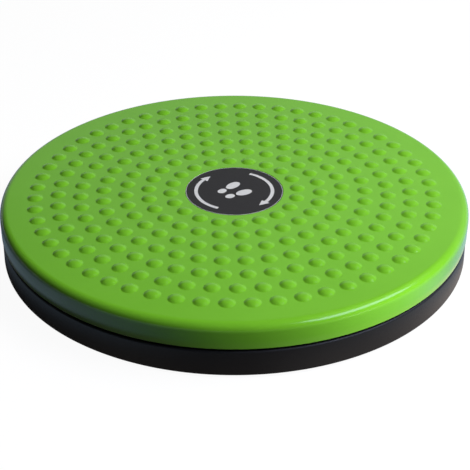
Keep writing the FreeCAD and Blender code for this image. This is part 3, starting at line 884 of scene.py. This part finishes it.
ink_vertices = []
ink_faces = []
shapes = band(*BORDER, 0, 360, LABEL_STEPS)
arrow_inner = ARROW_RADIUS - ARROW_WIDTH / 2
arrow_outer = ARROW_RADIUS + ARROW_WIDTH / 2
head_turn = math.degrees(ARROW_HEAD_LENGTH / ARROW_RADIUS)
for half_turn in (0, 180):
    tail, tip = (angle + half_turn for angle in ARROW_SPAN)
    neck = tip + head_turn
    shapes += band(arrow_inner, arrow_outer, neck, tail, INK_STEPS)
    half_head = ARROW_HEAD_WIDTH / 2
    barbs = [polar(ARROW_RADIUS + half_head, neck), polar(ARROW_RADIUS - half_head, neck)]
    shapes.append([polar(ARROW_RADIUS, tip), *barbs])
for side in (-1, 1):
    for part in (FOREFOOT, HEEL):
        shapes.append(oval(*part, side * SOLE_SPREAD, -side * SOLE_TURN))
for shape in shapes:
    extrude_ink(shape, ink_vertices, ink_faces)

white_ink = new_material("screen_printed_white_ink")
place = add_node(white_ink, "ShaderNodeTexCoord", {}, {})
mesh_marks = add_node(
    white_ink,
    "ShaderNodeTexNoise",
    {},
    {"Vector": (place, "Object"), "Scale": per_metre(ORANGE_PEEL_MM), "Detail": 4.0},
)
ink = add_node(
    white_ink,
    "ShaderNodeMix",
    {"data_type": "RGBA"},
    {"Factor": (mesh_marks, "Fac"), 6: linear("#c9c9c6"), 7: linear("#dededb")},
)
surface = add_node(
    white_ink,
    "ShaderNodeBsdfPrincipled",
    {},
    {"Base Color": (ink, 2), "Roughness": 0.5, "IOR": 1.5},
)
add_node(white_ink, "ShaderNodeOutputMaterial", {}, {"Surface": (surface, "BSDF")})
label_print = make_piece("label_print", ink_vertices, ink_faces, white_ink)
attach(label_print, "top")

# The camera has a long lens and looks down on the disc from the front. Its place, aim and lens
# come from a fit to the photograph's rim, skirt, base and bumps. The studio is in metres.
PHOTO_PIXELS = 470
SHIFT_PIXELS = (0.73, -0.42)
AIM = Vector((0.0, 0.0, 0.0015))
CAMERA_DISTANCE = 0.6478
CAMERA_ELEVATION = 31.37
CAMERA_TURN = 265.4
lens = bpy.data.cameras.new("camera")
lens.sensor_width = 36.0
lens.lens = 89.96
lens.shift_x = SHIFT_PIXELS[0] / PHOTO_PIXELS
lens.shift_y = SHIFT_PIXELS[1] / PHOTO_PIXELS
lens.clip_start = 0.01
camera = bpy.data.objects.new("camera", lens)
across, ahead = polar(math.cos(math.radians(CAMERA_ELEVATION)), CAMERA_TURN)
stand = Vector((across, ahead, math.sin(math.radians(CAMERA_ELEVATION))))
camera.location = AIM + CAMERA_DISTANCE * stand
camera.rotation_euler = (-stand).to_track_quat("-Z", "Y").to_euler()
bpy.context.scene.collection.objects.link(camera)
bpy.context.scene.camera = camera
bpy.context.scene.view_settings.view_transform = "Standard"

# The floor is a wide round of white paper, lit evenly until it fades into the white backdrop. It
# keeps a faint shadow of the disc, and throws little light back up.
FLOOR_RADIUS = 30.0
FLOOR_CORNERS = 36
FLOOR_GLOW = 0.92
floor_mesh = bpy.data.meshes.new("studio_floor")
floor_outline = [polar(FLOOR_RADIUS, 360 * corner / FLOOR_CORNERS) for corner in range(FLOOR_CORNERS)]
floor_mesh.from_pydata([(x, y, 0) for x, y in floor_outline], [], [tuple(range(FLOOR_CORNERS))])
floor = bpy.data.objects.new("studio_floor", floor_mesh)
bpy.context.scene.collection.objects.link(floor)

paper = new_material("white_studio_paper")
path = add_node(paper, "ShaderNodeLightPath", {}, {})
camera_or_gloss = add_node(
    paper,
    "ShaderNodeMath",
    {"operation": "MAXIMUM"},
    {0: (path, "Is Camera Ray"), 1: (path, "Is Glossy Ray")},
)
seen = add_node(
    paper,
    "ShaderNodeMath",
    {"operation": "MAXIMUM"},
    {0: (camera_or_gloss, "Value"), 1: (path, "Is Transmission Ray")},
)
glow = add_node(paper, "ShaderNodeEmission", {}, {"Color": linear("#ffffff"), "Strength": 1.03})
lit_paper = add_node(paper, "ShaderNodeBsdfDiffuse", {}, {"Color": linear("#f4f4f4")})
dim_paper = add_node(paper, "ShaderNodeBsdfDiffuse", {}, {"Color": linear("#303234")})
white = add_node(
    paper,
    "ShaderNodeMixShader",
    {},
    {0: FLOOR_GLOW, 1: (lit_paper, "BSDF"), 2: (glow, "Emission")},
)
choice = add_node(
    paper,
    "ShaderNodeMixShader",
    {},
    {0: (seen, "Value"), 1: (dim_paper, "BSDF"), 2: (white, "Shader")},
)
add_node(paper, "ShaderNodeOutputMaterial", {}, {"Surface": (choice, "Shader")})
floor_mesh.materials.append(paper)

# A glowing ring of card on the floor, no lamp and seen only in reflections, is painted reflection that
# stands for the room:
# dark in front, blue-grey at the left, bright at the right. The lower plate's rim mirrors its near band,
# which at the front and left is a painted reflection of the disc's shadow on the floor, and the skirt
# mirrors its far one, so the bands meet where the gap between the plates is mirrored.
CARD_CLEARANCE = 0.0002
CARD_REACH = 0.6
CARD_HEIGHT = 0.0003
CARD_BLEND = 0.0014
CARD_STEPS = 180
GAP_HEIGHT = 0.0154
WALL_SWEEP = 76
WALL_POINTS = 39
NEAR_TINT = "#fff3ec"
FAR_TINT = "#c8e4ff"
# How bright the painted reflection and the painted reflected shadow are at each angle round the disc.
CARD_TONES = (  # the angle from the camera's right, then how bright the far and near bands are
    (-180, 0.20, 0.08),
    (-168, 0.27, 0.05),
    (-155, 0.38, 0.03),
    (-144, 0.52, 0.04),
    (-130, 0.53, 0.08),
    (-118, 0.46, 0.14),
    (-108, 0.28, 0.16),
    (-98, 0.12, 0.14),
    (-85, 0.06, 0.17),
    (-68, 0.12, 0.38),
    (-55, 0.28, 0.40),
    (-42, 0.52, 0.72),
    (-30, 1.00, 1.10),
    (-18, 0.80, 1.25),
    (-5, 0.85, 0.65),
    (30, 0.90, 0.30),
    (90, 0.60, 0.35),
    (150, 0.35, 0.16),
    (180, 0.20, 0.08),
)
card_turn = CAMERA_TURN - 270
card_angles = np.linspace(-180, 180, CARD_STEPS, endpoint=False)

# At each angle along the rim from the camera's side, the sight line to the gap bounces down to
# the floor, out from the rim and aside along it. The bands meet on the line that this gives.
rim = rim_radius / MM_PER_METRE
wall_angles = np.radians(np.linspace(0, WALL_SWEEP, WALL_POINTS))
eye_reach = math.hypot(camera.location.x, camera.location.y)
drop = GAP_HEIGHT / (camera.location.z - GAP_HEIGHT)
out = rim + drop * (eye_reach * np.cos(wall_angles) - rim)
aside = drop * eye_reach * np.sin(wall_angles)
bounce_angles = np.degrees(wall_angles + np.arctan2(aside, out))
border = np.interp(abs(card_angles + 90), bounce_angles, np.hypot(out, aside))
card_start = np.full(CARD_STEPS, rim + CARD_CLEARANCE)
card_end = np.full(CARD_STEPS, CARD_REACH)
card_rings = (card_start, border - CARD_BLEND, border + CARD_BLEND, card_end)
card_vertices = []
for ring in card_rings:
    ring_points = [polar(radius, angle + card_turn) for radius, angle in zip(ring, card_angles)]
    card_vertices += [(x, y, CARD_HEIGHT) for x, y in ring_points]
card_mesh = bpy.data.meshes.new("painted_reflection_ring")
card_mesh.from_pydata(card_vertices, [], ring_faces(len(card_rings), CARD_STEPS))

tone_angles, far_tones, near_tones = zip(*CARD_TONES)
near_light = np.outer(np.interp(card_angles, tone_angles, near_tones), linear(NEAR_TINT))
far_light = np.outer(np.interp(card_angles, tone_angles, far_tones), linear(FAR_TINT))
ring_light = np.concatenate([near_light, near_light, far_light, far_light])
painted_reflection_light = card_mesh.attributes.new("painted_reflection_light", "FLOAT_COLOR", "POINT")
painted_reflection_light.data.foreach_set("color", ring_light.ravel())
painted_reflection_ring = bpy.data.objects.new("painted_reflection_ring", card_mesh)
bpy.context.scene.collection.objects.link(painted_reflection_ring)
painted_reflection_ring.visible_camera = False
painted_reflection_ring.visible_diffuse = False
painted_reflection_ring.visible_transmission = False
painted_reflection_ring.visible_shadow = False
# The ring's glow is painted reflection and painted shadow: it lights nothing and is no lamp.
painted_reflection_material = new_material("painted_reflection_card")
light_map = add_node(painted_reflection_material, "ShaderNodeAttribute", {"attribute_name": "painted_reflection_light"}, {})
tone = add_node(painted_reflection_material, "ShaderNodeEmission", {}, {"Color": (light_map, "Color"), "Strength": 1.0})
add_node(painted_reflection_material, "ShaderNodeOutputMaterial", {}, {"Surface": (tone, "Emission")})
card_mesh.materials.append(painted_reflection_material)


# Three soft boxes light the disc: a broad one over the right, a long strip that draws the streak
# on the rounded edge, and a small one low in front that lifts the skirt.
def add_lamp(name, turn, lift, distance, width, height, watts, hex_colour):
    """A soft box at a turn round Z and a lift over the floor, in degrees, that faces the disc."""
    lamp = bpy.data.lights.new(name, "AREA")
    lamp.shape = "RECTANGLE"
    lamp.size = width
    lamp.size_y = height
    lamp.energy = watts
    lamp.color = linear(hex_colour)[:3]
    x, y = polar(distance * math.cos(math.radians(lift)), turn)
    holder = bpy.data.objects.new(name, lamp)
    holder.location = (x, y, distance * math.sin(math.radians(lift)))
    holder.rotation_euler = (-holder.location).to_track_quat("-Z", "Y").to_euler()
    bpy.context.scene.collection.objects.link(holder)
    return holder


key_softbox = add_lamp("key_softbox", -6.6, 52, 0.75, 0.6, 0.45, 5.5, "#fffdf6")
key_softbox.visible_glossy = False
add_lamp("rim_strip", -31.0, 43, 0.89, 0.7, 0.3, 4.2, "#d0d8ff")
side_softbox = add_lamp("side_softbox", -54.6, 4.7, 0.22, 0.06, 0.03, 0.085, "#ffffff")
side_softbox.visible_glossy = False
side_softbox.visible_camera = False

# The room's own light comes from a bright wall low at the back, and little from the rest of it.
# The camera itself sees plain white there.
SKY_SIDE = [0.3, 0.9, -0.45]
world = bpy.data.worlds.new("studio")
bpy.context.scene.world = world
world.use_nodes = True
world.node_tree.nodes.clear()
path = add_node(world, "ShaderNodeLightPath", {}, {})
around = add_node(world, "ShaderNodeTexCoord", {}, {})
towards = add_node(
    world,
    "ShaderNodeVectorMath",
    {"operation": "DOT_PRODUCT"},
    {0: (around, "Generated"), 1: SKY_SIDE},
)
sky_light = add_node(
    world,
    "ShaderNodeMapRange",
    {},
    {"Value": (towards, "Value"), "From Min": 0.42, "From Max": 0.58, "To Min": 0.03, "To Max": 0.42},
)
fill = add_node(
    world,
    "ShaderNodeBackground",
    {},
    {"Color": linear("#eef4ff"), "Strength": (sky_light, "Result")},
)
backdrop = add_node(world, "ShaderNodeBackground", {}, {"Color": linear("#ffffff"), "Strength": 1.0})
sky = add_node(
    world,
    "ShaderNodeMixShader",
    {},
    {0: (path, "Is Camera Ray"), 1: (fill, "Background"), 2: (backdrop, "Background")},
)
add_node(world, "ShaderNodeOutputWorld", {}, {"Surface": (sky, "Shader")})
